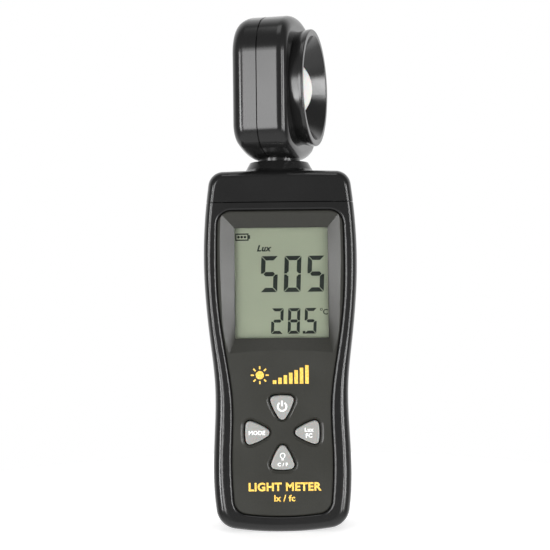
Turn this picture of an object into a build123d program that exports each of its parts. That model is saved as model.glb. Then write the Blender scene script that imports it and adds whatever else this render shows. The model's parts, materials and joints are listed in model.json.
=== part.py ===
from build123d import *
import os
from math import cos, radians, sin, sqrt, tan

# Handheld light meter, in millimetres. +Z is up, the display faces -Y, and the origin is
# the middle of the base, on the axis about which the sensor head turns.

# --- case -----------------------------------------------------------------------------
CASE_DEPTH = 28.0
SEAM_Z = 107.0            # where the two case halves end and the top cap begins
SEAM_GAP = 0.3
SEAM_INSET = 0.12         # depth of the seam groove, on the scale of the crest inset
CAP_TOP = 117.7
EDGE_DEPTH = 4.0          # how far back the rounded front and rear edges reach
WALL = 1.8
CORNER_R = 7.0
CAP_CORNER_R = 5.0
CREST_CORNER = 0.7        # corner radii of the front crest, as a share of the silhouette's
CROWN_R = 108.0           # radius of the crowned bottom end
CROWN_DIP = 0.3           # how much of the crown is flattened so that the meter stands
TOP_CROWN = 0.5
# Height, half width and inset of the front crest behind the side, from bottom to top.
SIDE_STATIONS = [
    (22.0, 22.5, 3.5),
    (48.0, 21.8, 3.1),
    (62.0, 23.2, 2.4),
    (86.0, 25.0, 2.3),
    (107.0, 24.0, 2.4),
]
FOOT_HALF = 20.8
FOOT_INSET = 3.6
SHOULDER_HALF = 22.6
SHOULDER_INSET = 2.4
CAVITY = 0.8              # inner walls follow this share of the crest inset
BOARD_EDGE = 1.4          # the circuit board's edge, on the same scale

FRONT = -CASE_DEPTH / 2
REAR = CASE_DEPTH / 2
CLEAR = 1.0               # how far a cut runs past the surface that it opens
WIDE = 40.0               # half the size of a cutting block that is wider than the meter

# --- face panel and window ------------------------------------------------------------
PANEL_FRONT = FRONT + 0.3
PANEL_BACK = FRONT + 3.5
# Height and half width of the face panel.
PANEL_STATIONS = [(10.0, 15.8), (25.0, 16.3), (42.0, 15.9), (59.0, 18.1), (75.0, 20.1), (90.0, 20.5)]
PANEL_TOP = 104.4
PANEL_TOP_HALF = 20.1
PANEL_FOOT = 5.3
PANEL_FOOT_CROWN = 1.4
PANEL_FOOT_TAPER = 0.3
PANEL_CORNER_R = 4.5
PANEL_CHAMFER = 0.4
PANEL_GAP = 0.2
RIM_R = 0.9               # rounding of the case where it frames the panel
WINDOW_X = 0.3
WINDOW_Z = 80.9
WINDOW_W = 30.4
WINDOW_H = 36.0
WINDOW_DEPTH = 2.5        # how deep the bevel round the window goes
BEVEL_BORDER = 0.9        # flat strip between the panel's edge and the bevel
BEVEL_FOOT = 58.2         # lower crease of the bevel
BEVEL_FOOT_RISE = 0.9
SHELF_BACK = PANEL_BACK + 1.5   # rear face of the front wall that carries the panel

# --- display stack, measured back from the front wall ---------------------------------
LENS_T = 1.0
LENS_LAP = 0.8
GLASS_W = 32.0
GLASS_H = 38.0
GLASS_FRONT = PANEL_BACK + 1.3
GLASS_T = 1.8
FRAME_W = 36.6
FRAME_H = 40.6
BOARD_FRONT = FRONT + 8.6
BOARD_T = 1.6
BOARD_BACK = BOARD_FRONT + BOARD_T
BOARD_LOW = 10.8
BOARD_HIGH = 100.2

# --- keys -----------------------------------------------------------------------------
KEYS_Z = 32.5             # centre of the cross of four keys
KEY_TIP = 3.3             # corners of a key's outline before they are rounded
KEY_OUTER = 11.5
KEY_HALF = 4.1
KEY_BULGE = 0.55
KEY_CORNER_R = 1.35
KEY_MIDDLE = 8.6          # distance from the cross's centre to the middle of a key
KEY_REACH = 3.6           # from there to the edge, about
KEY_PROUD = 0.6
KEY_EDGE_R = 0.45
KEY_GAP = 0.55
KEY_FLANGE = 1.2
KEY_TRAVEL = 0.5
STEM_R = 1.5
DOME_RISE = 0.35          # snap dome under each key
DOME_REACH = 2.4
DOME_SHEET = 0.12
DISH_DEPTH = 0.5
DISH_GROW = 1.8
MAT_T = 0.5
MAT_SIZE = 32.0

# --- battery compartment and door -----------------------------------------------------
CELL_R = 5.25
CELL_LENGTH = 44.5
CELL_NUB_R = 1.9
CELL_NUB = 0.8
CELL_PITCH = 10.8
CELL_Y = 6.6
CELL_LOW = 16.4
BAY_LOW = 11.0
BAY_HIGH = 63.4
BAY_HALF = 16.8
BAY_WALL = 1.2
BAY_BACK = 0.1            # depth at which the compartment's floor begins
BAY_FLOOR = 1.1
RIB_HALF = 0.7
SPRING_WIRE_R = 0.3
SPRING_R = 3.6
SPRING_CONE = -12
PLATE_HALF = 4.0
PLATE_T = 0.4
DOOR_LOW = 13.4
DOOR_HIGH = 63.1
DOOR_HALF = 16.5
DOOR_T = 1.7
DOOR_GAP = 0.25
DOOR_CORNER_R = 1.4
GRIP_LINES = 6
GRIP_PITCH = 1.6
GRIP_HALF = 6.0
LATCH_HALF = 6.6          # the two slits that free the door's latch
LATCH_LENGTH = 17.0
TAB_X = CELL_PITCH / 2
TAB_HALF = 2.0

# --- screws and the bosses that they turn into ----------------------------------------
CASE_SCREW_R = 0.85
CASE_HEAD_R = 2.1
CASE_HEAD_T = 1.7
CASE_HEAD_BACK = REAR - 1.3
CASE_BOSS_R = 2.3
BOARD_SCREW_R = 0.75
BOARD_HEAD_R = 1.8
BOARD_HEAD_T = 1.2
BOARD_BOSS_R = 2.0
HEAD_SCREW_R = 0.7
HEAD_SCREW_HEAD_R = 1.9
HEAD_SCREW_HEAD_T = 1.1
PILOT_PLAY = 0.05         # between a screw and the hole that it cuts its thread in
PASS_PLAY = 0.3           # between a screw and the hole that it passes through
RECESS_T = 0.7
RECESS_HALF = 0.25

# --- swivel ---------------------------------------------------------------------------
COLLAR_TOP = 121.0
COLLAR_LOW_R = 11.6
COLLAR_TOP_R = 9.7
COLLAR_FLARE_R = 1.8
COLLAR_LIP_R = 0.5
SHAFT_R = 4.5
BORE_R = SHAFT_R + 0.05
LEAD_HOLE_R = 2.6
LEAD_R = 1.2
NECK_R = 7.0
FLANGE_R = 8.2
FLANGE_T = 1.4
CLIP_Z = CAP_TOP - 5.5    # underside of the spring clip
CLIP_T = 0.8
CLIP_R = 6.4
GROOVE_R = 3.7
WASHER_R = 7.2
WASHER_T = 0.6
STOP_LOW = CAP_TOP - 8.4
STOP_HIGH = CAP_TOP - 6.2
STOP_RING_R = 7.0
STOP_LUG_R = 10.2
STOP_LUG_HALF = 1.7
STOP_INNER_R = 7.6        # the fixed post that limits the turn, and its half angle
STOP_OUTER_R = 10.4
STOP_POST_HALF = 30.0
TONGUE_HALF = 15.4        # the cap's skirt that plugs into the case
TONGUE_LENGTH = 2.8
TONGUE_WALL = 1.3

# --- sensor head, drawn facing -Y and then turned -------------------------------------
HEAD_TURN = 75.5
HEAD_W = 44.0
HEAD_LOW = 121.7
HEAD_HIGH = 169.2
HEAD_Z = (HEAD_LOW + HEAD_HIGH) / 2
HEAD_FRONT = -8.1
HEAD_SEAM = 1.6
HEAD_BACK = 10.5
HEAD_TOP_CROWN_R = 38.0
HEAD_FOOT_CROWN_R = 50.0
HEAD_TOP_CORNER_R = 12.5
HEAD_FOOT_CORNER_R = 8.5
HEAD_FRONT_EDGE_R = 3.2
HEAD_BACK_EDGE_R = 4.5
HEAD_SEAM_GAP = 0.4
HEAD_SEAM_DEPTH = 0.6
BEZEL_R = 19.25
BEZEL_PROUD = 4.6
BEZEL_LIP = 2.0
BEZEL_LIP_T = 1.2
BEZEL_STEP = 0.7
BEZEL_EDGE_R = 0.5
FUNNEL_FOOT_R = 11.7
SKIRT_R = 16.2
DOME_R = 11.4
DOME_T = 1.5
DOME_CENTRE = HEAD_FRONT + 8.2
DOME_FOOT = HEAD_FRONT + 5.9
DOME_FLANGE_R = 13.0
DOME_FLANGE_T = 0.9
SENSOR_BOARD_R = 15.0
SENSOR_BOARD_T = 1.2
HEAD_BOSS_X = 14.6
HEAD_BOSS_DZ = 13.5


# --- helpers --------------------------------------------------------------------------
def slab(face, y_front, y_back):
    """Thickens a face drawn in x and z into a slab between two depths."""
    return extrude(Plane.XZ.offset(-y_back) * face, amount=y_back - y_front)


def box(x_low, x_high, y_low, y_high, z_low, z_high):
    size = (x_high - x_low, y_high - y_low, z_high - z_low)
    middle = ((x_low + x_high) / 2, (y_low + y_high) / 2, (z_low + z_high) / 2)
    return Pos(*middle) * Box(*size)


def block(y_low, y_high, z_low, z_high):
    """A block wider than the meter, to keep or cut one part of it."""
    return box(-WIDE, WIDE, y_low, y_high, z_low, z_high)


def rod_y(x, z, radius, y_front, y_back):
    """A round bar along Y."""
    return slab(Pos(x, z) * Circle(radius), y_front, y_back)


def rod_z(radius, z_low, z_high, x=0.0, y=0.0):
    """A round bar along Z."""
    return Pos(x, y, z_low) * extrude(Circle(radius), amount=z_high - z_low)


def tube_z(outer, inner, z_low, z_high):
    return rod_z(outer, z_low, z_high) - rod_z(inner, z_low - CLEAR, z_high + CLEAR)


def wedge(half_angle, z_low, z_high):
    """A three-sided block that opens from the swivel axis towards +Y."""
    reach = 2 * STOP_OUTER_R
    side = reach * tan(radians(half_angle))
    corners = Polyline((0, 0), (-side, reach), (side, reach), close=True)
    return Pos(0, 0, z_low) * extrude(make_face(corners), amount=z_high - z_low)


def both_sides(x):
    return (-x, x)


def sag(radius, half):
    """How far an arc of this radius falls away at this distance from its crown."""
    return radius - sqrt(radius**2 - half**2)


def closed_face(right_edges, top, bottom):
    """A face symmetric about x = 0 from its right-hand edges, its top and its bottom."""
    left_edges = [mirror(edge, about=Plane.YZ) for edge in right_edges]
    return make_face([curve.edge() for curve in (bottom, top, *right_edges, *left_edges)])


def round_corners(face, foot_radius, top_radius):
    """Rounds the two lowest and the two highest corners of a face."""
    face = fillet(face.vertices().sort_by(Axis.Y)[:2], foot_radius)
    return fillet(face.vertices().sort_by(Axis.Y)[-2:], top_radius)


def case_outline(inset):
    """The case seen from the front, cap and all; inset 0 is the silhouette, 1 the front crest."""
    foot_half = FOOT_HALF - inset * FOOT_INSET
    shoulder = SHOULDER_HALF - inset * SHOULDER_INSET
    crown_z = -CROWN_DIP + inset * FOOT_INSET
    foot_z = crown_z + sag(CROWN_R, foot_half)
    top_z = CAP_TOP - inset * SHOULDER_INSET
    side = [(half - inset * share, z) for z, half, share in SIDE_STATIONS]
    right = Spline((foot_half, foot_z), *side, (shoulder, top_z - TOP_CROWN))
    top = ThreePointArc((shoulder, top_z - TOP_CROWN), (0, top_z), (-shoulder, top_z - TOP_CROWN))
    bottom = ThreePointArc((-foot_half, foot_z), (0, crown_z), (foot_half, foot_z))
    tighten = 1 - (1 - CREST_CORNER) * inset
    return round_corners(closed_face([right], top, bottom), CORNER_R * tighten, CAP_CORNER_R * tighten)


def case_edge(side):
    """The rounded front (side -1) or rear (side 1) edge of the case, lofted along a quarter ellipse."""
    steps = 4
    sections = []
    for step in range(steps + 1):
        angle = radians(90 * step / steps)
        y = side * (REAR - EDGE_DEPTH + EDGE_DEPTH * sin(angle))
        sections.append(Plane.XZ.offset(-y) * case_outline(1 - cos(angle)))
    return loft(sections)


def case_blank():
    """The whole outside of the case, with its foot flattened."""
    middle = slab(case_outline(0), FRONT + EDGE_DEPTH, REAR - EDGE_DEPTH)
    whole = middle + case_edge(-1) + case_edge(1)
    return whole & block(FRONT - CLEAR, REAR + CLEAR, 0, CAP_TOP + CLEAR)


def panel_outline(grow=0.0):
    """The face panel's outline, following the waist of the case."""
    side = [(half + grow, z) for z, half in PANEL_STATIONS]
    foot = (side[0][0] - PANEL_FOOT_TAPER, PANEL_FOOT + PANEL_FOOT_CROWN - grow)
    head = (PANEL_TOP_HALF + grow, PANEL_TOP + grow)
    right = Spline(foot, *side, head)
    top = Line(head, (-head[0], head[1]))
    bottom = ThreePointArc((-foot[0], foot[1]), (0, PANEL_FOOT - grow), foot)
    face = closed_face([right], top, bottom)
    return fillet(face.vertices(), PANEL_CORNER_R + grow)


def bevel_outline():
    """Where the slopes round the window start, inside the upper part of the panel."""
    side = [(half - BEVEL_BORDER, z) for z, half in PANEL_STATIONS if z > BEVEL_FOOT]
    foot = (side[0][0] - PANEL_FOOT_TAPER, BEVEL_FOOT)
    head = (PANEL_TOP_HALF - BEVEL_BORDER, PANEL_TOP - BEVEL_BORDER)
    return closed_face(
        [Spline(foot, *side, head)],
        Line(head, (-head[0], head[1])),
        ThreePointArc((-foot[0], foot[1]), (0, BEVEL_FOOT + BEVEL_FOOT_RISE), foot),
    )


def bulged_line(start, end):
    """An arc from start to end that stands out a little to the left of the way."""
    way = end - start
    out = Vector(-way.Y, way.X).normalized()
    return ThreePointArc(start, (start + end) * 0.5 + out * KEY_BULGE, end)


def key_outline(grow=0.0):
    """A key's rounded triangle, with its tip towards the middle of the cross at the origin."""
    share = (KEY_REACH + grow) / KEY_REACH
    outer = KEY_MIDDLE + share * (KEY_OUTER - KEY_MIDDLE)
    tip = Vector(0, KEY_MIDDLE + share * (KEY_TIP - KEY_MIDDLE))
    left = Vector(-share * KEY_HALF, outer)
    right = Vector(share * KEY_HALF, outer)
    edges = [bulged_line(left, right), bulged_line(right, tip), bulged_line(tip, left)]
    face = make_face([curve.edge() for curve in edges])
    return fillet(face.vertices(), KEY_CORNER_R + grow)


def at_key(turn, shape):
    """Moves a face drawn for the top key to the key that is this many degrees round the cross."""
    return Pos(0, KEYS_Z) * Rot(0, 0, turn) * shape


def key_slab(turn, grow, y_front, y_back):
    return slab(at_key(turn, key_outline(grow)), y_front, y_back)


def rear_screws(places, tip, shank_r, head_r, head_t, head_back):
    """Screws driven from the rear at each (x, z), with a cross recess in each head."""
    screws = []
    for x, z in places:
        screw = rod_y(x, z, shank_r, tip, head_back - head_t / 2)
        screw += rod_y(x, z, head_r, head_back - head_t, head_back)
        half = 0.65 * head_r
        recess_front = head_back - RECESS_T
        for half_x, half_z in ((half, RECESS_HALF), (RECESS_HALF, half)):
            screw -= box(x - half_x, x + half_x, recess_front, head_back + CLEAR, z - half_z, z + half_z)
        screws.append(screw.solid())
    return Compound(children=screws)


KEY_TURNS = {"power_key": 0, "mode_key": 90, "light_key": 180, "unit_key": 270}
CASE_SCREWS = [(x, z) for z, half in ((7.0, 15.2), (103.4, 19.3)) for x in both_sides(half)]
BOARD_SCREWS = [(x, z) for z, half in ((15.0, 14.5), (55.3, 15.2)) for x in both_sides(half)]
HEAD_SCREWS = [(x, HEAD_Z + dz) for x in both_sides(HEAD_BOSS_X) for dz in both_sides(HEAD_BOSS_DZ)]
CELL_XS = {"cell_left": -CELL_PITCH, "cell_centre": 0, "cell_right": CELL_PITCH}


# --- case -----------------------------------------------------------------------------
def seam_groove():
    """A shallow ring all round the case where its two halves meet."""
    half = SEAM_GAP / 2
    outside = slab(Rectangle(2 * WIDE, 3 * CAP_TOP), -half, half)
    return outside - slab(case_outline(SEAM_INSET), -half, half)


def front_case(blank):
    half = blank & block(FRONT - CLEAR, 0, -CLEAR, SEAM_Z)
    case = half - slab(case_outline(CAVITY), SHELF_BACK, CLEAR)
    case -= slab(panel_outline(PANEL_GAP), FRONT - CLEAR, PANEL_BACK)
    rim = case.faces().sort_by(Axis.Y)[0].inner_wires()[0]
    case = fillet(rim.edges(), RIM_R)
    opening = Pos(WINDOW_X, WINDOW_Z) * Rectangle(GLASS_W + 2, GLASS_H + 2)
    case -= slab(opening, PANEL_BACK - CLEAR, SHELF_BACK + CLEAR)
    for turn in KEY_TURNS.values():
        case -= key_slab(turn, KEY_GAP, PANEL_BACK - CLEAR, SHELF_BACK + CLEAR)
    for x, z in CASE_SCREWS:
        boss = rod_y(x, z, CASE_BOSS_R, SHELF_BACK - CLEAR / 2, -BAY_BACK) & half
        case += boss - rod_y(x, z, CASE_SCREW_R + PILOT_PLAY, FRONT / 2, CLEAR)
    for x, z in BOARD_SCREWS:
        case += rod_y(x, z, BOARD_BOSS_R, SHELF_BACK - CLEAR / 2, BOARD_FRONT)
        case -= rod_y(x, z, BOARD_SCREW_R + PILOT_PLAY, SHELF_BACK, BOARD_FRONT + CLEAR)
    return case - seam_groove()


def rear_case(blank):
    half = blank & block(0, REAR + CLEAR, -CLEAR, SEAM_Z)
    case = half - slab(case_outline(CAVITY), -CLEAR, REAR - WALL)
    outer_half = BAY_HALF + BAY_WALL
    floor = BAY_BACK + BAY_FLOOR
    case += box(-outer_half, outer_half, BAY_BACK, REAR - WALL, BAY_LOW - BAY_WALL, BAY_HIGH + BAY_WALL)
    case -= box(-BAY_HALF, BAY_HALF, floor, REAR - WALL, BAY_LOW, BAY_HIGH)
    door_height = DOOR_HIGH - DOOR_LOW + 2 * DOOR_GAP
    opening = RectangleRounded(2 * (DOOR_HALF + DOOR_GAP), door_height, DOOR_CORNER_R + DOOR_GAP)
    case -= slab(Pos(0, (DOOR_LOW + DOOR_HIGH) / 2) * opening, REAR - WALL - CLEAR, REAR + CLEAR)
    for x in both_sides(CELL_PITCH / 2):
        rib_back = CELL_Y - CELL_R / 2 - CLEAR
        case += box(x - RIB_HALF, x + RIB_HALF, floor, rib_back, CELL_LOW + 4, BAY_HIGH - 8)
    for x, z in CASE_SCREWS:
        case += rod_y(x, z, CASE_BOSS_R + CLEAR, BAY_BACK, REAR - CLEAR / 2) & half
        case -= rod_y(x, z, CASE_SCREW_R + PASS_PLAY, -CLEAR, REAR)
        case -= rod_y(x, z, CASE_HEAD_R + PASS_PLAY, CASE_HEAD_BACK - CASE_HEAD_T, REAR + CLEAR)
    return case - seam_groove()


def face_panel():
    panel = slab(panel_outline(), PANEL_FRONT, PANEL_BACK)
    panel = chamfer(panel.faces().sort_by(Axis.Y)[0].edges(), PANEL_CHAMFER)
    sill = Pos(WINDOW_X, WINDOW_Z) * Rectangle(WINDOW_W, WINDOW_H)
    front = Plane.XZ.offset(-PANEL_FRONT) * bevel_outline()
    back = Plane.XZ.offset(-PANEL_FRONT - WINDOW_DEPTH) * sill
    panel -= loft([front, back], ruled=True)
    panel -= slab(sill, PANEL_FRONT - CLEAR, PANEL_BACK + CLEAR)
    for turn in KEY_TURNS.values():
        panel -= key_slab(turn, KEY_GAP, PANEL_FRONT - CLEAR, PANEL_BACK + CLEAR)
        panel -= loft([
            Plane.XZ.offset(-PANEL_FRONT) * at_key(turn, key_outline(DISH_GROW)),
            Plane.XZ.offset(-PANEL_FRONT - DISH_DEPTH) * at_key(turn, key_outline(KEY_GAP)),
        ])
    return panel


def collar_root(edge):
    """Whether an edge lies where the collar's cone meets the cap."""
    middle = edge @ 0.5
    radius = sqrt(middle.X**2 + middle.Y**2)
    return abs(radius - COLLAR_LOW_R) < CLEAR and abs(middle.Z - CAP_TOP) < 2 * CLEAR


def top_cap(blank):
    low = SEAM_Z + SEAM_GAP
    cap = blank & block(FRONT - CLEAR, REAR + CLEAR, low, CAP_TOP + CLEAR)
    cap += loft([
        Plane.XY.offset(CAP_TOP - 2 * CLEAR) * Circle(COLLAR_LOW_R + CLEAR),
        Plane.XY.offset(COLLAR_TOP) * Circle(COLLAR_TOP_R),
    ])
    cap = fillet(cap.edges().filter_by(collar_root), COLLAR_FLARE_R)
    cap = fillet(cap.faces().sort_by(Axis.Z)[-1].edges(), COLLAR_LIP_R)
    hollow = slab(case_outline(CAVITY), FRONT + WALL, REAR - WALL)
    cap -= hollow & block(FRONT, REAR, low - CLEAR, CAP_TOP - WALL)
    front = SHELF_BACK + 0.1
    rear = REAR - WALL - 0.1
    cap += box(-TONGUE_HALF, TONGUE_HALF, FRONT + CLEAR, rear, low, low + BAY_WALL)
    cap += box(-TONGUE_HALF, TONGUE_HALF, front, rear, SEAM_Z - TONGUE_LENGTH, low + CLEAR)
    inner = TONGUE_HALF - TONGUE_WALL
    skirt_low = SEAM_Z - TONGUE_LENGTH - CLEAR
    cap -= box(-inner, inner, front + TONGUE_WALL, rear - TONGUE_WALL, skirt_low, low + 2 * CLEAR)
    cap += rod_z(WASHER_R, CLIP_Z + CLIP_T + WASHER_T + 0.1, CAP_TOP)
    post = tube_z(STOP_OUTER_R, STOP_INNER_R, STOP_LOW, CAP_TOP - WALL)
    cap += post & wedge(STOP_POST_HALF, STOP_LOW, CAP_TOP)
    return cap - rod_z(BORE_R, SEAM_Z, COLLAR_TOP + CLEAR)


# --- display --------------------------------------------------------------------------
def display_plate(width, height, y_front, y_back, radius=0.4):
    return slab(Pos(WINDOW_X, WINDOW_Z) * RectangleRounded(width, height, radius), y_front, y_back)


def lcd_window():
    return display_plate(GLASS_W + 2 * LENS_LAP, GLASS_H + 2 * LENS_LAP, PANEL_BACK, PANEL_BACK + LENS_T)


def lcd_glass():
    return display_plate(GLASS_W, GLASS_H, GLASS_FRONT, GLASS_FRONT + GLASS_T)


def lcd_frame():
    frame = display_plate(FRAME_W, FRAME_H, SHELF_BACK, BOARD_FRONT, PANEL_CORNER_R / 4)
    play = 0.3
    return frame - display_plate(GLASS_W + play, GLASS_H + play, SHELF_BACK - CLEAR, BOARD_FRONT + CLEAR)


def lcd_backlight():
    """A light guide behind the glass, hollowed where its reflector is."""
    half = GLASS_W / 2 - 0.6
    low = WINDOW_Z - GLASS_H / 2 + 3.4
    high = WINDOW_Z + GLASS_H / 2 - 0.3
    front = GLASS_FRONT + GLASS_T + 0.1
    border = 3.0
    guide = box(-half, half, front, BOARD_FRONT - 0.1, low, high)
    guide -= box(border - half, half - border, BOARD_FRONT - 0.6, BOARD_FRONT, low + border, high - border)
    return Pos(WINDOW_X, 0, 0) * guide


def zebra_strip():
    """The soft strip that joins the glass's contacts to the board's."""
    low = WINDOW_Z - GLASS_H / 2 + 0.6
    return box(-14, 14, GLASS_FRONT + GLASS_T, BOARD_FRONT, low, low + 1.8)


# --- board ----------------------------------------------------------------------------
def main_board():
    board = slab(case_outline(BOARD_EDGE), BOARD_FRONT, BOARD_BACK)
    board &= block(FRONT, REAR, BOARD_LOW, BOARD_HIGH)
    for x, z in BOARD_SCREWS:
        board -= rod_y(x, z, BOARD_SCREW_R + PASS_PLAY, BOARD_FRONT - CLEAR, BOARD_BACK + CLEAR)
    return board


def board_chips():
    """Processor, memory, regulator and amplifier, then two capacitors and the buzzer."""
    flat_chips = [(0, 84, 7, 7, 1.4), (-10, 76, 5, 4, 1.3), (9, 70, 3, 3, 1.0), (9, 90, 5, 6, 1.5)]
    round_parts = [(-14, 66, 1.6, 3.0), (-10, 66, 1.6, 3.0), (-10, 90, 3.0, 2.2)]
    parts = []
    for x, z, width, height, thick in flat_chips:
        body = Pos(x, BOARD_BACK + thick / 2, z) * Box(width, thick, height)
        parts.append(chamfer(body.faces().sort_by(Axis.Y)[-1].edges(), 0.2))
    for x, z, radius, tall in round_parts:
        can = rod_y(x, z, radius, BOARD_BACK, BOARD_BACK + tall)
        parts.append(fillet(can.edges().sort_by(Axis.Y)[-1:], 0.3))
    return Compound(children=[part.solid() for part in parts])


def board_screws():
    head_back = BOARD_BACK + BOARD_HEAD_T
    tip = BOARD_FRONT - 2.9
    return rear_screws(BOARD_SCREWS, tip, BOARD_SCREW_R, BOARD_HEAD_R, BOARD_HEAD_T, head_back)


def thermistor():
    x, z = 16.6, 60.0
    bead_r = 1.2
    leg = rod_y(x, z, bead_r / 4, BOARD_BACK, BOARD_BACK + bead_r)
    return leg + Pos(x, BOARD_BACK + bead_r, z) * Sphere(bead_r)


def lead_connector():
    """A socket on the board with the sensor lead's plug in it."""
    socket_low, socket_high = 93.5, 98.5
    socket = box(-4, 4, BOARD_BACK, 3.0, socket_low, socket_high)
    return socket + box(-3.2, 3.2, -2 * LEAD_R, 2 * LEAD_R, socket_high, socket_high + 2.5)


def sensor_lead():
    return rod_z(LEAD_R, 101, HEAD_Z - SENSOR_BOARD_R - 0.5)


# --- keys -----------------------------------------------------------------------------
def key(turn):
    cap = key_slab(turn, 0, PANEL_FRONT - KEY_PROUD, SHELF_BACK + 0.5)
    cap = fillet(cap.faces().sort_by(Axis.Y)[0].edges(), KEY_EDGE_R)
    cap += key_slab(turn, KEY_FLANGE, SHELF_BACK + 0.1, SHELF_BACK + 0.9)
    stem = at_key(turn, Pos(0, KEY_MIDDLE) * Circle(STEM_R))
    stem_back = BOARD_FRONT - DOME_RISE - KEY_TRAVEL - 0.05
    return cap + slab(stem, SHELF_BACK + 0.5, stem_back)


def key_domes():
    """Four thin snap domes on the board, each a shallow cap of a sphere."""
    radius = (DOME_REACH**2 + DOME_RISE**2) / (2 * DOME_RISE)
    shell = Sphere(radius) - Sphere(radius - DOME_SHEET)
    domes = []
    for turn in KEY_TURNS.values():
        middle = at_key(turn, Pos(0, KEY_MIDDLE)).position
        ball = Pos(middle.X, BOARD_FRONT - DOME_RISE + radius, middle.Y) * shell
        domes.append((ball & block(FRONT, BOARD_FRONT, 0, SEAM_Z)).solid())
    return Compound(children=domes)


def keypad_mat():
    """A rubber sheet behind the keys that keeps dust out."""
    front = SHELF_BACK + 1.6
    mat = slab(Pos(0, KEYS_Z) * RectangleRounded(MAT_SIZE, MAT_SIZE, PANEL_CORNER_R), front, front + MAT_T)
    for turn in KEY_TURNS.values():
        hole = at_key(turn, Pos(0, KEY_MIDDLE) * Circle(STEM_R + PASS_PLAY))
        mat -= slab(hole, front - CLEAR, front + CLEAR)
    return mat


# --- battery --------------------------------------------------------------------------
def cell(x):
    can = fillet(rod_z(CELL_R, 0, CELL_LENGTH - CELL_NUB).edges(), 0.5)
    nub = rod_z(CELL_NUB_R, CELL_LENGTH - 2 * CELL_NUB, CELL_LENGTH)
    nub = fillet(nub.edges().sort_by(Axis.Z)[-1:], 0.3)
    return Pos(x, CELL_Y, CELL_LOW) * (can + nub)


def battery_springs():
    """Three conical coil springs, pressed between the bottom wall and the cells."""
    turns = 4
    play = 0.05
    height = CELL_LOW - BAY_LOW - 2 * (SPRING_WIRE_R + play)
    coil = Helix(pitch=height / turns, height=height, radius=SPRING_R, cone_angle=SPRING_CONE)
    section = Plane(coil @ 0, z_dir=coil % 0) * Circle(SPRING_WIRE_R)
    spring = sweep(section, path=coil)
    low = BAY_LOW + SPRING_WIRE_R + play
    return Compound(children=[(Pos(x, CELL_Y, low) * spring).solid() for x in CELL_XS.values()])


def battery_plates():
    """Contact plates over the cells, each with a dimple that meets the nub."""
    plates = []
    top = CELL_LOW + CELL_LENGTH + 0.9
    for x in CELL_XS.values():
        plate = Pos(x, CELL_Y, top + PLATE_T / 2) * Box(2 * PLATE_HALF, 2 * PLATE_HALF, PLATE_T)
        dimple = rod_z(1.6, top - 0.8, top + 0.1, x, CELL_Y)
        plates.append((plate + dimple).solid())
    return Compound(children=plates)


def battery_door():
    """The rear door, with grip lines, a latch between two slits and two hooks at its foot."""
    height = DOOR_HIGH - DOOR_LOW
    outline = Pos(0, (DOOR_LOW + DOOR_HIGH) / 2) * RectangleRounded(2 * DOOR_HALF, height, DOOR_CORNER_R)
    door = slab(outline, REAR - DOOR_T, REAR)
    for row in range(GRIP_LINES):
        z = DOOR_HIGH - 7 - GRIP_PITCH * row
        door -= box(-GRIP_HALF, GRIP_HALF, REAR - 0.5, REAR + CLEAR, z - GRIP_PITCH / 4, z + GRIP_PITCH / 4)
    slit_low = DOOR_HIGH - LATCH_LENGTH
    for x in both_sides(LATCH_HALF):
        door -= box(x - 0.3, x + 0.3, REAR - 2 * DOOR_T, REAR + CLEAR, slit_low, DOOR_HIGH + CLEAR)
    hook_front = REAR - DOOR_T - 1.3
    for x in both_sides(TAB_X):
        left, right = x - TAB_HALF, x + TAB_HALF
        door += box(left, right, hook_front, REAR - DOOR_T - 0.2, DOOR_LOW - 1.5, DOOR_LOW + 3)
        door += box(left, right, hook_front, REAR - DOOR_T + 0.2, DOOR_LOW + 0.4, DOOR_LOW + 3)
    return door


def case_screws():
    return rear_screws(CASE_SCREWS, -6, CASE_SCREW_R, CASE_HEAD_R, CASE_HEAD_T, CASE_HEAD_BACK)


# --- swivel ---------------------------------------------------------------------------
def swivel_spindle():
    """A hollow shaft, the neck under the head, and a flange held inside the head."""
    shaft = rod_z(SHAFT_R, STOP_LOW - 0.6, COLLAR_TOP + CLEAR)
    flange_low = HEAD_LOW + 2.9
    neck = rod_z(NECK_R, COLLAR_TOP + 0.15, flange_low + FLANGE_T / 2)
    flange = rod_z(FLANGE_R, flange_low, flange_low + FLANGE_T)
    flange &= block(HEAD_FRONT + WALL + 0.2, HEAD_BACK - WALL - 0.2, HEAD_LOW, HEAD_HIGH)
    groove = tube_z(FLANGE_R, GROOVE_R, CLIP_Z - 0.1, CLIP_Z + CLIP_T + 0.1)
    return shaft + neck + flange - groove - rod_z(LEAD_HOLE_R, SEAM_Z, HEAD_Z)


def swivel_washer():
    low = CLIP_Z + CLIP_T + 0.1
    return tube_z(WASHER_R, BORE_R, low, low + WASHER_T)


def swivel_clip():
    """An E-shaped spring clip in the spindle's groove."""
    clip = tube_z(CLIP_R, GROOVE_R + 0.05, CLIP_Z, CLIP_Z + CLIP_T)
    mouth = 0.7 * GROOVE_R
    return clip - box(-mouth, mouth, -2 * CLIP_R, 0, CLIP_Z - CLEAR, CLIP_Z + 2 * CLEAR)


def stop_collar():
    """A ring on the spindle's end whose lug meets the post inside the cap at both ends of the turn."""
    ring = rod_z(STOP_RING_R, STOP_LOW, STOP_HIGH)
    ring += box(-STOP_LUG_HALF, STOP_LUG_HALF, -STOP_LUG_R, -SHAFT_R, STOP_LOW, STOP_HIGH)
    return ring - rod_z(SHAFT_R, STOP_LOW - CLEAR, STOP_HIGH + CLEAR)


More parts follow.
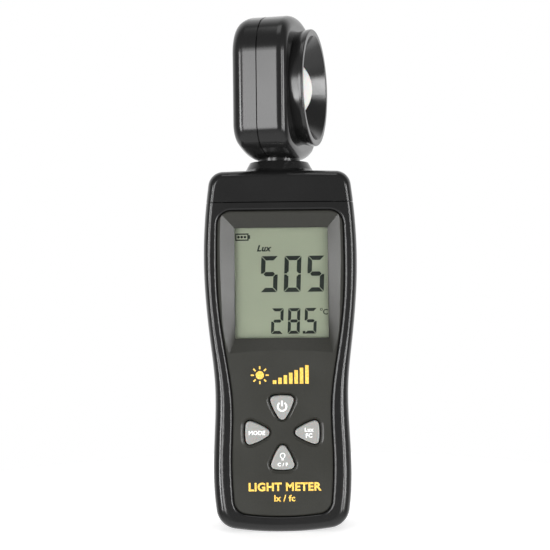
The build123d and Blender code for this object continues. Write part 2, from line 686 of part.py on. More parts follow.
# --- sensor head ----------------------------------------------------------------------
def head_outline(inset=0.0):
    """The head seen along its facing axis: crowned top and foot, straight sides, round corners."""
    half = HEAD_W / 2 - inset
    low = HEAD_LOW + inset
    high = HEAD_HIGH - inset
    low_side = low + sag(HEAD_FOOT_CROWN_R, HEAD_W / 2)
    high_side = high - sag(HEAD_TOP_CROWN_R, HEAD_W / 2)
    right = Line((half, low_side), (half, high_side))
    top = ThreePointArc((half, high_side), (0, high), (-half, high_side))
    bottom = ThreePointArc((-half, low_side), (0, low), (half, low_side))
    face = closed_face([right], top, bottom)
    return round_corners(face, HEAD_FOOT_CORNER_R - inset, HEAD_TOP_CORNER_R - inset)


def head_groove():
    """A ring all round the head where its two shells meet."""
    front = HEAD_SEAM - HEAD_SEAM_GAP / 2
    back = HEAD_SEAM + HEAD_SEAM_GAP / 2
    outside = slab(Pos(0, HEAD_Z) * Rectangle(2 * WIDE, 2 * WIDE), front, back)
    return outside - slab(head_outline(HEAD_SEAM_DEPTH), front, back)


def neck_opening():
    return rod_z(NECK_R + 0.05, HEAD_LOW - 2 * CLEAR, HEAD_LOW + 2 * WALL)


def head_front_shell():
    shell = slab(head_outline(), HEAD_FRONT, HEAD_SEAM)
    shell = fillet(shell.faces().sort_by(Axis.Y)[0].edges(), HEAD_FRONT_EDGE_R)
    shell -= slab(head_outline(WALL), HEAD_FRONT + WALL, HEAD_SEAM + CLEAR)
    for x, z in HEAD_SCREWS:
        shell += rod_y(x, z, CASE_BOSS_R - 0.2, HEAD_FRONT + WALL / 2, HEAD_SEAM)
        shell -= rod_y(x, z, HEAD_SCREW_R + PILOT_PLAY, HEAD_FRONT + 2 * WALL, HEAD_SEAM + CLEAR)
    shell -= rod_y(0, HEAD_Z, SKIRT_R + 0.1, HEAD_FRONT - CLEAR, HEAD_FRONT + WALL + CLEAR)
    return shell - neck_opening() - head_groove()


def head_rear_shell():
    shell = slab(head_outline(), HEAD_SEAM, HEAD_BACK)
    shell = fillet(shell.faces().sort_by(Axis.Y)[-1].edges(), HEAD_BACK_EDGE_R)
    shell -= slab(head_outline(WALL), HEAD_SEAM - CLEAR, HEAD_BACK - WALL)
    for x, z in HEAD_SCREWS:
        shell += rod_y(x, z, HEAD_SCREW_HEAD_R + CLEAR, HEAD_SEAM, HEAD_BACK - WALL / 2)
        shell -= rod_y(x, z, HEAD_SCREW_R + PASS_PLAY, HEAD_SEAM - CLEAR, HEAD_BACK)
        shell -= rod_y(x, z, HEAD_SCREW_HEAD_R + PASS_PLAY, HEAD_BACK - 1.6, HEAD_BACK + CLEAR)
    post = 9.5
    for x in both_sides(post):
        for z in both_sides(post):
            shell += rod_y(x, HEAD_Z + z, 1.3, DOME_FOOT + SENSOR_BOARD_T, HEAD_BACK - WALL / 2)
    return shell - neck_opening() - head_groove()


def sensor_bezel():
    """The funnel-shaped ring round the diffuser, spun about the head's facing axis."""
    rim_y = HEAD_FRONT - BEZEL_PROUD
    foot_y = DOME_FOOT - DOME_FLANGE_T
    profile = Polyline(
        (BEZEL_R - BEZEL_LIP, rim_y),
        (BEZEL_R, rim_y),
        (BEZEL_R, rim_y + BEZEL_LIP_T),
        (BEZEL_R - BEZEL_STEP, HEAD_FRONT),
        (SKIRT_R, HEAD_FRONT),
        (SKIRT_R, HEAD_FRONT + WALL),
        (FUNNEL_FOOT_R + 1.6, foot_y),
        (FUNNEL_FOOT_R, foot_y),
        close=True,
    )
    ring = Pos(0, 0, HEAD_Z) * revolve(make_face(profile), Axis.Y)
    rim = ring.edges().filter_by(GeomType.CIRCLE).sort_by(Axis.Y)[:2]
    return fillet(rim, BEZEL_EDGE_R)


def diffuser_dome():
    """A hollow white dome with a flat flange that the funnel ring holds down."""
    centre = Pos(0, DOME_CENTRE, HEAD_Z)
    shell = centre * (Sphere(DOME_R) - Sphere(DOME_R - DOME_T))
    shell &= block(DOME_FOOT - 2 * DOME_R, DOME_FOOT, HEAD_LOW, HEAD_HIGH)
    flange = rod_y(0, HEAD_Z, DOME_FLANGE_R, DOME_FOOT - DOME_FLANGE_T, DOME_FOOT)
    return shell + (flange - centre * Sphere(DOME_R - DOME_T / 2))


def sensor_board():
    return rod_y(0, HEAD_Z, SENSOR_BOARD_R, DOME_FOOT, DOME_FOOT + SENSOR_BOARD_T)


def photodiode():
    """A square package with a recess for the chip."""
    front = DOME_FOOT - 1.4
    body = slab(Pos(0, HEAD_Z) * RectangleRounded(6, 6, 0.3), front, DOME_FOOT)
    return body - slab(Pos(0, HEAD_Z) * Rectangle(4, 4), front - CLEAR, front + 0.25)


def filter_glass():
    return rod_y(0, HEAD_Z, 4.5, DOME_FOOT - 3.2, DOME_FOOT - 1.6)


def head_screws():
    head_back = HEAD_BACK - 0.5
    return rear_screws(HEAD_SCREWS, -4, HEAD_SCREW_R, HEAD_SCREW_HEAD_R, HEAD_SCREW_HEAD_T, head_back)


def build_all():
    """Every piece by its name, in place."""
    blank = case_blank()
    pieces = {
        "front_case": front_case(blank),
        "rear_case": rear_case(blank),
        "top_cap": top_cap(blank),
    }
    fixed = [
        face_panel, lcd_window, lcd_glass, lcd_frame, lcd_backlight, zebra_strip, main_board,
        board_chips, board_screws, thermistor, lead_connector, sensor_lead, key_domes, keypad_mat,
        battery_springs, battery_plates, battery_door, case_screws, swivel_washer,
    ]
    for make in fixed:
        pieces[make.__name__] = make()
    for name, turn in KEY_TURNS.items():
        pieces[name] = key(turn)
    for name, x in CELL_XS.items():
        pieces[name] = cell(x)
    turning = [
        head_front_shell, head_rear_shell, sensor_bezel, diffuser_dome, filter_glass, photodiode,
        sensor_board, head_screws, swivel_spindle, swivel_clip, stop_collar,
    ]
    for make in turning:
        pieces[make.__name__] = Rot(0, 0, HEAD_TURN) * make()
    return pieces


os.makedirs("parts", exist_ok=True)
for name, piece in build_all().items():
    export_step(piece, f"parts/{name}.step")
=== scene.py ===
import json
import math
from collections import namedtuple

import bpy
from mathutils import Matrix, Vector


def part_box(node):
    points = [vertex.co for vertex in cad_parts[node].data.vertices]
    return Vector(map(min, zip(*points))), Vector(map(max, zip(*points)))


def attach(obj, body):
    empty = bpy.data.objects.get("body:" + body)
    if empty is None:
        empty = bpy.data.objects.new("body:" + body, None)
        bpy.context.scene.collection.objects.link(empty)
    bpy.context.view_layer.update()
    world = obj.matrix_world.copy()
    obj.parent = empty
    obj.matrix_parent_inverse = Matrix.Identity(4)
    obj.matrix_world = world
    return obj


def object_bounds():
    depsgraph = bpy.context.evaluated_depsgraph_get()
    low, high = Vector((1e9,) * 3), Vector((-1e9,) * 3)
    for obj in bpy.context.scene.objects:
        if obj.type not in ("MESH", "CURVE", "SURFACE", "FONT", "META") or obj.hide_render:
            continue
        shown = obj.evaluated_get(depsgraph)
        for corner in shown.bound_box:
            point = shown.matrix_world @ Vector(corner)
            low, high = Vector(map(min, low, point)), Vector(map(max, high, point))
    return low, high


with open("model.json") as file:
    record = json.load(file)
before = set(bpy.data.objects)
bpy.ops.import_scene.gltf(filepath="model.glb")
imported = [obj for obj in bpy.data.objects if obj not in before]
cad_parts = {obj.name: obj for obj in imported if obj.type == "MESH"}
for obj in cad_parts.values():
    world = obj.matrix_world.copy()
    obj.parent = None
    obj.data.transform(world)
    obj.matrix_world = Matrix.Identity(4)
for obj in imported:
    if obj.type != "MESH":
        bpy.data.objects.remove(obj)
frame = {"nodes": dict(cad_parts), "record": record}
cad_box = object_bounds()

MM = 0.001


# --- shader nodes -----------------------------------------------------------------------------
def add_node(tree, kind, inputs=None, **settings):
    """Adds a shader node, linking or setting each input named in the dictionary."""
    made = tree.nodes.new("ShaderNode" + kind)
    for setting, value in settings.items():
        setattr(made, setting, value)
    for socket, value in (inputs or {}).items():
        if isinstance(value, bpy.types.NodeSocket):
            tree.links.new(value, made.inputs[socket])
        else:
            made.inputs[socket].default_value = value
    return made


# --- materials --------------------------------------------------------------------------------
class Finish:
    """A node material under construction. A texture's scale is about its number of features per metre."""

    def __init__(self, name, **sockets):
        self.material = bpy.data.materials.new(name)
        self.material.use_nodes = True
        self.tree = self.material.node_tree
        self.shader = self.tree.nodes["Principled BSDF"]
        for socket, value in sockets.items():
            self.shader.inputs[socket.replace("_", " ")].default_value = value
        self.place = self.node("TexCoord").outputs["Object"]

    def node(self, kind, inputs=None, **settings):
        return add_node(self.tree, kind, inputs, **settings)

    def stretched(self, scale):
        """The object's own coordinates, scaled along each axis."""
        return self.node("Mapping", {"Vector": self.place, "Scale": scale}).outputs["Vector"]

    def noise(self, scale, detail=3.0, vector=None, rough=0.5):
        values = {"Vector": vector or self.place, "Scale": scale, "Detail": detail, "Roughness": rough}
        return self.node("TexNoise", values).outputs["Fac"]

    def ramp(self, value, stops):
        """A colour ramp with a (position, colour) pair for each stop."""
        made = self.node("ValToRGB", {"Fac": value})
        elements = made.color_ramp.elements
        while len(elements) < len(stops):
            elements.new(0.5)
        for element, (position, color) in zip(elements, stops):
            element.position = position
            element.color = (*color, 1)
        return made.outputs["Color"]

    def between(self, value, low, high, start=0.3, end=0.7):
        """Low where the value is at or before start, high at or after end, and even in between."""
        values = {"Value": value, "From Min": start, "From Max": end, "To Min": low, "To Max": high}
        return self.node("MapRange", values).outputs["Result"]

    def math(self, operation, first, second):
        return self.node("Math", {0: first, 1: second}, operation=operation).outputs["Value"]

    def color(self, socket):
        self.tree.links.new(socket, self.shader.inputs["Base Color"])

    def blend(self, value, first, second, start=0.3, end=0.7):
        """Colours the finish from a first colour, where the value is start, to a second at end."""
        self.color(self.ramp(value, [(start, first), (end, second)]))

    def roughness(self, socket):
        self.tree.links.new(socket, self.shader.inputs["Roughness"])

    def relief(self, height, strength, distance):
        """Bumps from a height, which distance turns into metres and strength weakens."""
        values = {"Height": height, "Strength": strength, "Distance": distance}
        self.tree.links.new(self.node("Bump", values).outputs["Normal"], self.shader.inputs["Normal"])


def shade(color, factor):
    """A colour made lighter or darker, channel by channel."""
    return [min(1.0, channel * factor) for channel in color]


ROUGH_SPREAD = 0.25       # share by which a moulded finish's roughness strays either way
SCUFF_SCALE = 140.0
SCUFF_STRETCH = (1.0, 1.0, 0.06)
SCUFF_GAIN = 0.12         # what a scuff adds to the value that sets the roughness


def moulded(name, color, rough, tint=0.12, grain=900.0, bump=0.03, patch=45.0, **sockets):
    """Moulded plastic or rubber: colour mottle, roughness patches, fine grain and faint scuffs."""
    finish = Finish(name, **sockets)
    broad = finish.noise(patch, detail=4.0)
    finish.blend(broad, shade(color, 1 - tint), shade(color, 1 + tint))
    scuffs = finish.noise(SCUFF_SCALE, detail=2.0, vector=finish.stretched(SCUFF_STRETCH), rough=0.7)
    worn = finish.math("ADD", broad, finish.between(scuffs, 0.0, SCUFF_GAIN, start=0.62, end=0.75))
    smoothest, roughest = rough * (1 - ROUGH_SPREAD), min(1.0, rough * (1 + ROUGH_SPREAD))
    finish.roughness(finish.between(worn, smoothest, roughest))
    finish.relief(finish.noise(grain, detail=3.0), strength=bump, distance=0.1 * MM)
    return finish.material


def textured_panel():
    """Matte moulded plastic with a spark-eroded texture."""
    color = (0.024, 0.024, 0.020)
    pit_scale, speckle_scale, patch_scale = 2600.0, 3200.0, 60.0
    finish = Finish("panel_grey", Specular_IOR_Level=0.5)
    pits = finish.node("TexVoronoi", {"Vector": finish.place, "Scale": pit_scale}).outputs["Distance"]
    speckle = finish.noise(speckle_scale, detail=2.0)
    finish.blend(speckle, shade(color, 0.82), shade(color, 1.18), start=0.25, end=0.75)
    finish.roughness(finish.between(finish.noise(patch_scale, detail=4.0), low=0.29, high=0.39))
    finish.relief(finish.math("ADD", pits, speckle), strength=0.22, distance=0.05 * MM)
    return finish.material


def display_glass():
    """A reflective liquid-crystal panel: grey-green, with fine rows, faint clouds and polariser grain."""
    color = (0.395, 0.425, 0.312)
    row_scale, row_share = 900.0, 0.15
    cloud_scale, sheen_scale, grain_scale = 35.0, 1500.0, 4000.0
    finish = Finish("display", Coat_Weight=0.2, Coat_Roughness=0.1)
    wave = finish.node("TexWave", {"Vector": finish.place, "Scale": row_scale}, bands_direction="Z")
    rows = finish.math("MULTIPLY", wave.outputs["Fac"], row_share)
    tone = finish.math("ADD", rows, finish.noise(cloud_scale, detail=5.0))
    finish.blend(tone, shade(color, 0.95), shade(color, 1.06), end=0.85)
    finish.roughness(finish.between(finish.noise(sheen_scale, detail=2.0), low=0.40, high=0.52))
    finish.relief(finish.noise(grain_scale, detail=2.0), strength=0.04, distance=0.02 * MM)
    return finish.material


ACRYLIC_IOR = 1.49
GLASS_IOR = 1.52


def clear_plastic(name, color, rough, ior):
    """Clear plastic or glass with smears that show in the gloss and barely in the colour."""
    smear_scale, smear_stretch = 70.0, (1.0, 1.0, 0.3)
    finish = Finish(name, Transmission_Weight=1.0, IOR=ior)
    smears = finish.noise(smear_scale, detail=5.0, vector=finish.stretched(smear_stretch))
    finish.blend(smears, shade(color, 0.99), color)
    finish.roughness(finish.between(smears, rough * 0.5, rough * 2.0, start=0.45, end=0.75))
    return finish.material


def circuit_board():
    """Green solder mask over copper tracks."""
    mask, track = (0.008, 0.10, 0.035), (0.02, 0.19, 0.07)
    track_scale, patch_scale = 420.0, 300.0
    finish = Finish("board_green", Coat_Weight=0.3, Coat_Roughness=0.15)
    cells = finish.node("TexVoronoi", {"Vector": finish.place, "Scale": track_scale}, distance="MANHATTAN",
                        feature="DISTANCE_TO_EDGE").outputs["Distance"]
    tracks = finish.between(cells, 1.0, 0.0, start=0.05, end=0.09)
    finish.blend(tracks, mask, track, start=0.0, end=1.0)
    finish.roughness(finish.between(finish.noise(patch_scale), low=0.28, high=0.42))
    finish.relief(tracks, strength=0.4, distance=0.03 * MM)
    return finish.material


def cell_wrap():
    """The printed jacket of a cell: a dark sleeve with a grey foot, a copper band and a bare metal top."""
    foot, dark = (0.05, 0.05, 0.055), (0.012, 0.013, 0.016)
    copper, bare = (0.48, 0.20, 0.07), (0.6, 0.59, 0.56)
    dark_start, copper_start, bare_start = 0.02, 0.70, 0.965
    patch_scale, grain_scale = 250.0, 700.0
    low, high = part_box("cell_left")
    finish = Finish("cell_jacket", Metallic=0.55, Coat_Weight=0.5, Coat_Roughness=0.12)
    height = finish.node("SeparateXYZ", {"Vector": finish.place}).outputs["Z"]
    along = finish.between(height, 0.0, 1.0, start=low.z, end=high.z)
    stops = [(0.0, foot), (dark_start, dark), (copper_start, copper), (bare_start, bare)]
    bands = finish.ramp(along, stops)
    bands.node.color_ramp.interpolation = "CONSTANT"
    finish.color(bands)
    finish.roughness(finish.between(finish.noise(patch_scale, detail=4.0), low=0.2, high=0.34))
    finish.relief(finish.noise(grain_scale), strength=0.03, distance=0.05 * MM)
    return finish.material


def brushed_metal(name, color, rough):
    """Bright metal with fine level streaks."""
    streak_scale, streak_stretch = 500.0, (1.0, 1.0, 9.0)
    finish = Finish(name, Metallic=1.0)
    streaks = finish.noise(streak_scale, detail=4.0, vector=finish.stretched(streak_stretch), rough=0.6)
    finish.blend(streaks, shade(color, 0.85), color)
    finish.roughness(finish.between(streaks, rough * 0.7, rough * 1.3))
    finish.relief(streaks, strength=0.08, distance=0.02 * MM)
    return finish.material


def printed_ink(name, light, dark, rough=0.42, mottle=1400.0, **sockets):
    """Screen-printed ink, a little uneven in thickness."""
    finish = Finish(name, **sockets)
    thickness = finish.noise(mottle, detail=3.0)
    finish.blend(thickness, dark, light, start=0.35, end=0.65)
    finish.roughness(finish.between(thickness, rough * 0.85, rough * 1.15))
    finish.relief(thickness, strength=0.15, distance=0.02 * MM)
    return finish.material


def diffuser_white():
    """Translucent white plastic, faintly frosted."""
    dull, bright = (0.80, 0.80, 0.77), (0.86, 0.86, 0.83)
    cloud_scale, frost_scale = 160.0, 2500.0
    finish = Finish("dome_white", Subsurface_Weight=0.35, Subsurface_Scale=2.0 * MM)
    cloud = finish.noise(cloud_scale, detail=4.0)
    finish.blend(cloud, dull, bright)
    finish.roughness(finish.between(cloud, low=0.42, high=0.55))
    finish.relief(finish.noise(frost_scale, detail=2.0), strength=0.05, distance=0.03 * MM)
    return finish.material


GLOSS_BLACK = (0.0105, 0.0105, 0.0105)
KEY_GREY = (0.28, 0.28, 0.27)

FINISHES = {
    "case_black": moulded("case_black", GLOSS_BLACK, rough=0.17, bump=0.02, patch=30.0),
    "panel_grey": textured_panel(),
    "clear_window": clear_plastic("clear_window", (0.98, 1.0, 0.985), rough=0.02, ior=ACRYLIC_IOR),
    "display": display_glass(),
    "white_plastic": moulded("white_plastic", (0.72, 0.72, 0.70), rough=0.4, tint=0.04),
    "rubber_black": moulded("rubber_black", (0.010, 0.010, 0.010), rough=0.75, bump=0.1, grain=1800.0),
    "board_green": circuit_board(),
    "chip_black": moulded("chip_black", (0.02, 0.02, 0.022), rough=0.5, grain=2400.0, bump=0.08),
    "steel": brushed_metal("steel", (0.60, 0.60, 0.58), rough=0.30),
    "nickel": brushed_metal("nickel", (0.72, 0.71, 0.68), rough=0.22),
    "bead_resin": moulded("bead_resin", (0.05, 0.03, 0.02), rough=0.2, Coat_Weight=0.6),
    "cell_jacket": cell_wrap(),
    "key_grey": moulded("key_grey", KEY_GREY, rough=0.34, tint=0.03, grain=2000.0,
                        Subsurface_Weight=0.15, Subsurface_Scale=1.0 * MM),
    "bezel_black": moulded("bezel_black", GLOSS_BLACK, rough=0.2, patch=60.0, Specular_IOR_Level=0.75),
    "spindle_black": moulded("spindle_black", (0.012, 0.012, 0.012), rough=0.25, patch=80.0),
    "dome_white": diffuser_white(),
    "filter_green": clear_plastic("filter_green", (0.45, 0.80, 0.55), rough=0.03, ior=GLASS_IOR),
}
LCD_INK = printed_ink("lcd_ink", (0.020, 0.028, 0.022), (0.012, 0.018, 0.014), rough=0.5,
                      Specular_IOR_Level=0.15)
GOLD_INK = printed_ink("gold_ink", (0.90, 0.62, 0.13), (0.72, 0.40, 0.05), mottle=2600.0)
WHITE_INK = printed_ink("white_ink", (0.93, 0.93, 0.92), (0.84, 0.84, 0.83))

slots = {part["node"]: part["material_slot"] for part in frame["record"]["subparts"]}
for node, piece in frame["nodes"].items():
    piece.data.materials.clear()
    piece.data.materials.append(FINISHES[slots[node]])


# --- flat artwork: outlines in x and z, given a thin body that stands on a surface ----------------
INK = 0.02 * MM           # thickness of the print
CAPITAL = 0.69            # height of a capital letter in font sizes
LETTER_SPACING = 1.08

# A line of lettering: x and z of its middle and its capital height in millimetres, weight and lean.
Word = namedtuple("Word", "text x z height weight lean", defaults=(0.05, 0))


def prisms(outlines, surface_y):
    """Vertices and faces of a thin closed prism on each outline, standing towards -Y."""
    points, faces = [], []
    for outline in outlines:
        start, count = len(points), len(outline)
        for y in (surface_y - INK, surface_y):
            points += [(x, y, z) for x, z in outline]
        faces.append(range(start, start + count))
        faces.append(range(start + 2 * count - 1, start + count - 1, -1))
        for i in range(count):
            j = (i + 1) % count
            faces.append((start + i, start + count + i, start + count + j, start + j))
    return points, faces


def add_word(points, faces, origin, word):
    """Adds the mesh of a word, placed from an origin on the surface, to lists of vertices and faces."""
    x, surface_y, z = origin
    height = word.height * MM
    curve = bpy.data.curves.new("lettering", "FONT")
    curve.body = word.text
    curve.align_x = "CENTER"
    curve.size = height / CAPITAL
    curve.offset = word.weight * height
    curve.shear = word.lean
    curve.extrude = INK / 2
    curve.resolution_u = 4
    curve.space_character = LETTER_SPACING
    holder = bpy.data.objects.new("lettering", curve)
    bpy.context.collection.objects.link(holder)
    mesh = bpy.data.meshes.new_from_object(holder)
    place = Matrix.Translation((x + word.x * MM, surface_y - INK / 2, z + word.z * MM - height / 2))
    mesh.transform(place @ Matrix.Rotation(math.pi / 2, 4, "X"))
    start = len(points)
    points += [tuple(vertex.co) for vertex in mesh.vertices]
    faces += [[start + i for i in polygon.vertices] for polygon in mesh.polygons]
    bpy.data.objects.remove(holder)
    bpy.data.curves.remove(curve)
    bpy.data.meshes.remove(mesh)


def artwork(name, outlines, origin, words, material, body):
    """One piece of thin prisms and letters, on a surface that faces -Y through an origin."""
    mesh = bpy.data.meshes.new(name)
    points, faces = prisms(outlines, origin[1])
    for word in words:
        add_word(points, faces, origin, word)
    mesh.from_pydata(points, [], [list(face) for face in faces])
    piece = bpy.data.objects.new(name, mesh)
    bpy.context.collection.objects.link(piece)
    mesh.materials.append(material)
    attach(piece, body)


def front_centre(low, high):
    """The middle of the front of a box."""
    return (low.x + high.x) / 2, low.y, (low.z + high.z) / 2


def rectangle(left, right, low, high):
    return [(left, low), (right, low), (right, high), (left, high)]


def disc(x, z, radius, sides=24):
    """A regular polygon that stands for a circle."""
    angles = [2 * math.pi * i / sides for i in range(sides)]
    return [(x + radius * math.cos(angle), z + radius * math.sin(angle)) for angle in angles]


def arc_strip(x, z, radius, width, start, end, sides=28):
    """Quadrilaterals along a ring's arc, from start to end in degrees anticlockwise from the right."""
    inner, outer = radius - width / 2, radius + width / 2
    quads = []
    for i in range(sides):
        here, there = (math.radians(start + (end - start) * step / sides) for step in (i, i + 1))
        corners = ((inner, here), (outer, here), (outer, there), (inner, there))
        quads.append([(x + r * math.cos(angle), z + r * math.sin(angle)) for r, angle in corners])
    return quads


def stroke(start, end, width):
    """A straight bar between two points."""
    (x0, z0), (x1, z1) = start, end
    length = math.hypot(x1 - x0, z1 - z0)
    dx, dz = (x1 - x0) / length * width / 2, (z1 - z0) / length * width / 2
    return [(x0 + dz, z0 - dx), (x1 + dz, z1 - dx), (x1 - dz, z1 + dx), (x0 - dz, z0 + dx)]


# --- the display's segments: millimetres from the middle of the glass ------------------------------
DIGITS = {"0": "abcdef", "2": "abged", "5": "afgcd", "8": "abcdefg"}
SLANT = 0.04              # sideways shift for each unit of height
READING = {"text": "505", "left": -6.95, "low": -3.0, "pitch": 7.62,
           "width": 5.5, "height": 11.8, "thick": 1.42, "gap": 0.16}
TEMPERATURE = {"text": "285", "left": -3.65, "low": -16.7, "pitch": 5.45,
               "width": 3.95, "height": 8.4, "thick": 1.0, "gap": 0.14}
POINT_LEFT, POINT_SIZE = 6.75, 0.9
BATTERY_LEFT, BATTERY_RIGHT = -15.0, -10.6
BATTERY_FOOT, BATTERY_TOP = 13.9, 16.3
BATTERY_LINE = 0.42
BATTERY_TIP = 0.5         # how far the tip stands out
BATTERY_SHOULDER = 0.6    # from the tip's ends to the sign's top and foot
BATTERY_DOTS = 3
DOT_FIRST = 1.1           # from the sign's left edge to the first dot's middle
DOT_PITCH, DOT_R = 1.05, 0.44
DEGREE_X, DEGREE_Z, DEGREE_R, DEGREE_LINE = 12.95, -8.8, 0.36, 0.2
DISPLAY_WORDS = [
    Word("Lux", x=-5.85, z=11.4, height=1.9, weight=0.06, lean=0.3),
    Word("C", x=14.3, z=-9.6, height=1.7, weight=0.03),
]


def digit(character, left, low, width, height, thick, gap):
    """The lit segments of one seven-segment digit, with mitred ends and a slight lean."""
    middle, half = height / 2, thick / 2
    inner, far = thick + gap / 2, width - thick - gap / 2
    shapes = {
        "a": [(gap, height), (inner, height - thick), (far, height - thick), (width - gap, height)],
        "d": [(gap, 0), (width - gap, 0), (far, thick), (inner, thick)],
        "g": [(half + gap, middle), (inner, middle - half), (far, middle - half),
              (width - half - gap, middle), (far, middle + half), (inner, middle + half)],
    }
    upper = [(0, height - gap), (0, middle + gap), (half, middle + gap), (thick, middle + half + gap),
             (thick, height - thick - gap)]
    lower = [(x, height - z) for x, z in reversed(upper)]
    shapes["f"], shapes["e"] = upper, lower
    shapes["b"] = [(width - x, z) for x, z in reversed(upper)]
    shapes["c"] = [(width - x, z) for x, z in reversed(lower)]
    return [[(left + x + SLANT * z, low + z) for x, z in shapes[name]] for name in DIGITS[character]]


def digit_row(x, z, text, left, low, pitch, width, height, thick, gap):
    """Digits at an even pitch, placed from x and z."""
    shapes = []
    for i, character in enumerate(text):
        corner = x + (left + pitch * i) * MM, z + low * MM
        shapes += digit(character, *corner, width * MM, height * MM, thick * MM, gap * MM)
    return shapes


def battery_sign(x, z):
    """An outlined cell with a tip on its right and a row of dots inside."""
    left, right = x + BATTERY_LEFT * MM, x + BATTERY_RIGHT * MM
    foot, top, line = z + BATTERY_FOOT * MM, z + BATTERY_TOP * MM, BATTERY_LINE * MM
    shapes = [
        rectangle(left, right, foot, foot + line),
        rectangle(left, right, top - line, top),
        rectangle(left, left + line, foot + line, top - line),
        rectangle(right - line, right, foot + line, top - line),
        rectangle(right, right + BATTERY_TIP * MM, foot + BATTERY_SHOULDER * MM, top - BATTERY_SHOULDER * MM),
    ]
    for i in range(BATTERY_DOTS):
        dot_x = left + (DOT_FIRST + DOT_PITCH * i) * MM
        shapes.append(disc(dot_x, (foot + top) / 2, DOT_R * MM, sides=12))
    return shapes


def display_artwork():
    low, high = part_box("lcd_glass")
    origin = front_centre(low, high)
    x, _, z = origin
    shapes = digit_row(x, z, **READING) + digit_row(x, z, **TEMPERATURE)
    point_x, point_z = x + POINT_LEFT * MM, z + TEMPERATURE["low"] * MM
    shapes.append(rectangle(point_x, point_x + POINT_SIZE * MM, point_z, point_z + POINT_SIZE * MM))
    shapes += battery_sign(x, z)
    degree_x, degree_z = x + DEGREE_X * MM, z + DEGREE_Z * MM
    shapes += arc_strip(degree_x, degree_z, DEGREE_R * MM, DEGREE_LINE * MM, 0, 360, sides=14)
    artwork("lcd_segments", shapes, origin, DISPLAY_WORDS, LCD_INK, "case")


# --- the panel's print: millimetres from the middle of the panel's lower edge -----------------------
SUN_X, SUN_Z, SUN_R = -7.1, 45.8, 2.9
SUN_RAYS = 8
SUN_DISC, RAY_START, RAY_WIDTH = 0.46, 0.66, 0.17       # as shares of the sun's radius
BARS = 7
BAR_LEFT, BAR_FOOT = -2.9, 42.9
BAR_PITCH, BAR_WIDTH = 1.75, 1.15
BAR_FIRST, BAR_STEP = 1.2, 0.8                          # height of the first bar, and each one's rise
PANEL_WORDS = [
    Word("LIGHT METER", x=0.5, z=9.6, height=2.5, weight=0.055),
    Word("lx / fc", x=0.5, z=5.9, height=1.9),
]


def sun(x, z, radius):
    """A filled disc with short rays."""
    shapes = [disc(x, z, SUN_DISC * radius)]
    for i in range(SUN_RAYS):
        angle = 2 * math.pi * i / SUN_RAYS
        ends = [(x + r * math.cos(angle), z + r * math.sin(angle)) for r in (RAY_START * radius, radius)]
        shapes.append(stroke(*ends, RAY_WIDTH * radius))
    return shapes


def rising_bars(x, z):
    """A row of bars on one level, each a step taller than the last."""
    shapes = []
    for i in range(BARS):
        left, height = x + (BAR_LEFT + BAR_PITCH * i) * MM, (BAR_FIRST + BAR_STEP * i) * MM
        foot = z + BAR_FOOT * MM
        shapes.append(rectangle(left, left + BAR_WIDTH * MM, foot, foot + height))
    return shapes


def panel_artwork():
    low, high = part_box("face_panel")
    x = (low.x + high.x) / 2
    shapes = sun(x + SUN_X * MM, low.z + SUN_Z * MM, SUN_R * MM) + rising_bars(x, low.z)
    artwork("panel_print", shapes, (x, low.y, low.z), PANEL_WORDS, GOLD_INK, "case")


# --- key legends: millimetres from the middle of each key -------------------------------------------
def power_symbol(x, z):
    """A ring that is open at the top, with a bar in the opening."""
    radius, width = 1.4 * MM, 0.55 * MM
    bar_foot, bar_top = 0.1 * MM, 1.9 * MM
    ring_start, ring_end = 125, 415
    ring = arc_strip(x, z, radius, width, ring_start, ring_end)
    return ring + [stroke((x, z + bar_foot), (x, z + bar_top), width)]


def lamp_symbol(x, z):
    """An outlined bulb, open below, over a socket of two short lines."""
    radius, width = 0.75 * MM, 0.28 * MM
    bulb_start, bulb_end = -60, 240
    socket_lines, half_line, first_line, line_pitch = 2, 0.4 * MM, 0.95, 0.45
    shapes = arc_strip(x, z, radius, width, bulb_start, bulb_end)
    for i in range(socket_lines):
        level = z - (first_line + line_pitch * i) * MM
        shapes.append(stroke((x - half_line, level), (x + half_line, level), width))
    return shapes


KEY_SYMBOLS = {"power_key": (power_symbol, 0.15), "light_key": (lamp_symbol, 0.9)}
KEY_WORDS = {
    "power_key": [],
    "mode_key": [Word("MODE", x=0.05, z=0.0, height=1.25)],
    "unit_key": [Word("Lux", x=0.3, z=0.9, height=1.25), Word("FC", x=0.3, z=-1.0, height=1.25)],
    "light_key": [Word("C / F", x=0.0, z=-2.0, height=1.05)],
}


def key_artwork():
    """A legend for each key, which rides on that key."""
    for key, words in KEY_WORDS.items():
        low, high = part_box(key)
        origin = front_centre(low, high)
        shapes = []
        if key in KEY_SYMBOLS:
            symbol, rise = KEY_SYMBOLS[key]
            shapes = symbol(origin[0], origin[2] + rise * MM)
        artwork(key.replace("key", "legend"), shapes, origin, words, WHITE_INK, key)


display_artwork()
panel_artwork()
key_artwork()


# --- lights -----------------------------------------------------------------------------------
LIGHT_DISTANCE = 0.95
FEATHER = 0.2             # share of a light's width and height in which it fades at each edge
MIDDLE_Z = (cad_box[0].z + cad_box[1].z) / 2


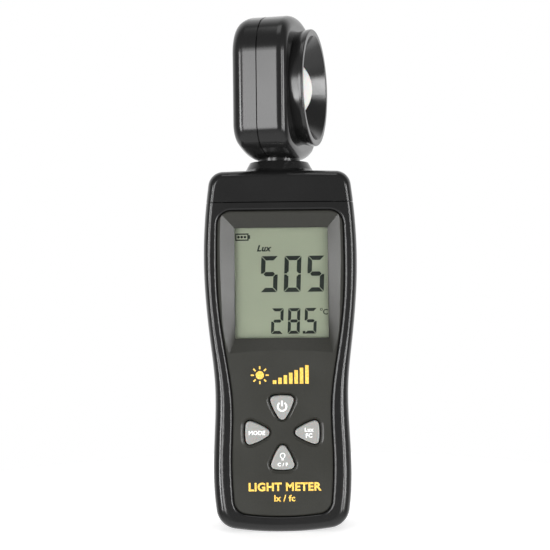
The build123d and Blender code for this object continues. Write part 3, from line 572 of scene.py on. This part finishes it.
def softbox(name, azimuth, elevation, width, height, radiance):
    """An area light that faces the object and fades towards its edges.

    Azimuth 0 is behind the camera, and 90 is on the right.
    """
    data = bpy.data.lights.new(name, "AREA")
    data.shape = "RECTANGLE"
    data.size = width
    data.size_y = height
    data.energy = radiance * math.pi * width * height
    data.use_nodes = True
    tree = data.node_tree
    across = add_node(tree, "NewGeometry").outputs["Parametric"]
    split = add_node(tree, "SeparateXYZ", {"Vector": across})
    fades = []
    for axis in "XY":
        offset = add_node(tree, "Math", {0: split.outputs[axis], 1: 0.5}, operation="SUBTRACT")
        away = add_node(tree, "Math", {0: offset.outputs["Value"]}, operation="ABSOLUTE")
        values = {"Value": away.outputs["Value"], "From Min": 0.5, "From Max": 0.5 - FEATHER}
        fades.append(add_node(tree, "MapRange", values, interpolation_type="SMOOTHSTEP").outputs["Result"])
    both = add_node(tree, "Math", {0: fades[0], 1: fades[1]}, operation="MULTIPLY")
    tree.links.new(both.outputs["Value"], tree.nodes["Emission"].inputs["Strength"])
    lamp = bpy.data.objects.new(name, data)
    turn, rise = math.radians(azimuth), math.radians(elevation)
    back = Vector((math.sin(turn) * math.cos(rise), -math.cos(turn) * math.cos(rise), math.sin(rise)))
    lamp.location = Vector((0, 0, MIDDLE_Z)) + back * LIGHT_DISTANCE
    lamp.rotation_mode = "QUATERNION"
    lamp.rotation_quaternion = back.to_track_quat("Z", "Y")
    lamp.visible_camera = False
    bpy.context.collection.objects.link(lamp)


softbox("left_box", azimuth=-29, elevation=-1, width=0.36, height=0.90, radiance=7.0)
softbox("left_far_box", azimuth=-56, elevation=-3, width=0.22, height=0.80, radiance=13.5)
softbox("right_strip", azimuth=36, elevation=-4, width=0.13, height=0.86, radiance=14.0)
softbox("right_far_box", azimuth=56, elevation=-3, width=0.26, height=0.80, radiance=10.5)
softbox("top_box", azimuth=0, elevation=78, width=0.6, height=0.6, radiance=1.5)


def studio_world():
    """White behind the object and wherever the camera looks, pale below, and dim in front.

    The dim front lets black plastic keep its depth.
    """
    world = bpy.data.worlds.new("studio")
    world.use_nodes = True
    tree = world.node_tree
    direction = add_node(tree, "TexCoord").outputs["Generated"]
    split = add_node(tree, "SeparateXYZ", {"Vector": direction})

    def fade(axis, start, full, dim, bright):
        """Goes from dim to bright as the direction's part along an axis goes from start to full."""
        values = {"Value": split.outputs[axis], "From Min": start, "From Max": full,
                  "To Min": dim, "To Max": bright}
        return add_node(tree, "MapRange", values, interpolation_type="SMOOTHSTEP").outputs["Result"]

    behind = fade("Y", start=0.05, full=0.65, dim=0.18, bright=1.0)
    below = fade("Z", start=-0.3, full=-0.8, dim=0.0, bright=0.7)
    strength = add_node(tree, "LightPath").outputs["Is Camera Ray"]
    for glow in (behind, below):
        strength = add_node(tree, "Math", {0: strength, 1: glow}, operation="MAXIMUM").outputs["Value"]
    background = tree.nodes["Background"]
    background.inputs["Color"].default_value = (1, 1, 1, 1)
    tree.links.new(strength, background.inputs["Strength"])
    bpy.context.scene.world = world


studio_world()


# --- floor: a small pale disc, which glossy rays and shadow rays pass through ------------------
FLOOR_R = 0.17
FLOOR_SIDES = 64
FLOOR_WHITE = (0.90, 0.90, 0.90)
FLOOR_GLOW = 0.6

floor_mesh = bpy.data.meshes.new("floor")
rim = [(x, y, 0) for x, y in disc(0, 0, FLOOR_R, FLOOR_SIDES)]
floor_mesh.from_pydata(rim, [], [range(FLOOR_SIDES)])
floor_mesh.materials.append(moulded("floor_white", FLOOR_WHITE, rough=0.85, tint=0.01, bump=0.0,
                                    Emission_Color=(1, 1, 1, 1), Emission_Strength=FLOOR_GLOW))
floor = bpy.data.objects.new("floor", floor_mesh)
bpy.context.collection.objects.link(floor)
floor.visible_glossy = False
floor.visible_shadow = False


# --- camera -----------------------------------------------------------------------------------
CAMERA_X, CAMERA_Z = -1.8 * MM, 83.5 * MM
CAMERA_DISTANCE = 0.42
CAMERA_ROLL = math.radians(0.65)
VIEW_WIDTH = 0.1841       # width of the view in the plane of the swivel's axis
SENSOR_WIDTH = 36

camera_data = bpy.data.cameras.new("camera")
camera_data.sensor_width = SENSOR_WIDTH
camera_data.lens = SENSOR_WIDTH * CAMERA_DISTANCE / VIEW_WIDTH
camera = bpy.data.objects.new("camera", camera_data)
camera.location = (CAMERA_X, -CAMERA_DISTANCE, CAMERA_Z)
camera.rotation_euler = (math.radians(90), CAMERA_ROLL, 0)
bpy.context.collection.objects.link(camera)
bpy.context.scene.camera = camera
bpy.context.scene.view_settings.view_transform = "Standard"
